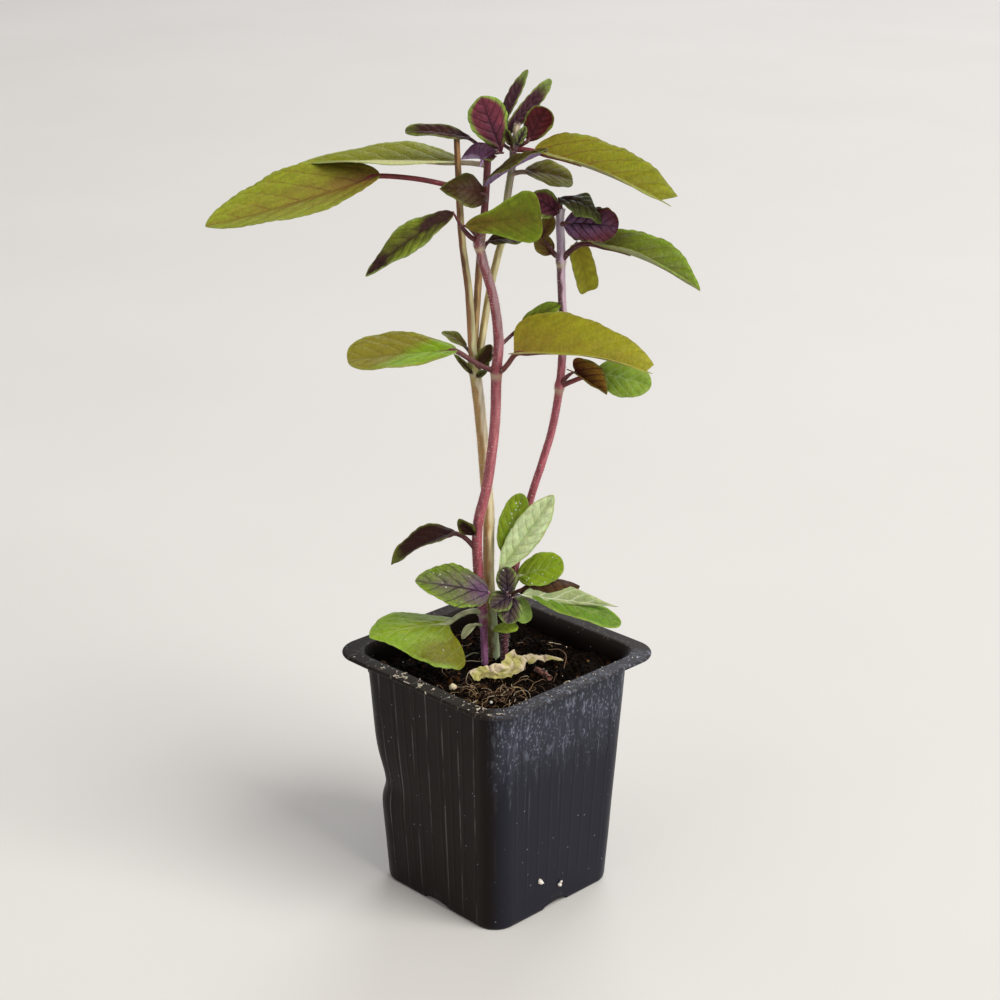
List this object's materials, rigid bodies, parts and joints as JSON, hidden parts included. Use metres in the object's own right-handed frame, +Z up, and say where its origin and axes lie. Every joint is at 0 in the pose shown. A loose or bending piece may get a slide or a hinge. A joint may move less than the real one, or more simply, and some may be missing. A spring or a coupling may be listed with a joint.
{
  "type": "potted basil",
  "caption": "Leafy purple-tinged basil with upright branching stems growing from dark soil in a square tapered plastic nursery pot, resting flat on its base.",
  "frame": {"origin": "centre of the pot's underside, on the surface that it stands on", "axes": "+Z up along the stems, +X and +Y square to two of the pot's sides; the pictured corner is the one at +X -Y"},
  "size_m": [0.1252, 0.1278, 0.3142],
  "materials": {
    "pot": "semi-matte black moulded plastic with water marks",
    "soil": "rough dark fibrous peat",
    "stem_red": "semi-gloss green and purple leaf on a red hairy stem",
    "stem_pale": "semi-gloss olive and purple leaf on a pale green and tan stem",
    "stem_purple": "semi-gloss green and purple leaf on a purple hairy stem",
    "dry_leaf": "matt dried leaf",
    "twig": "rough bark"
  },
  "bodies": {
    "root": {"pot": "pot", "soil": "soil", "stem_red": "stem_red", "stem_pale": "stem_pale", "stem_purple": "stem_purple", "dry_leaf": "dry_leaf", "twig": "twig"}
  },
  "joints": []
}
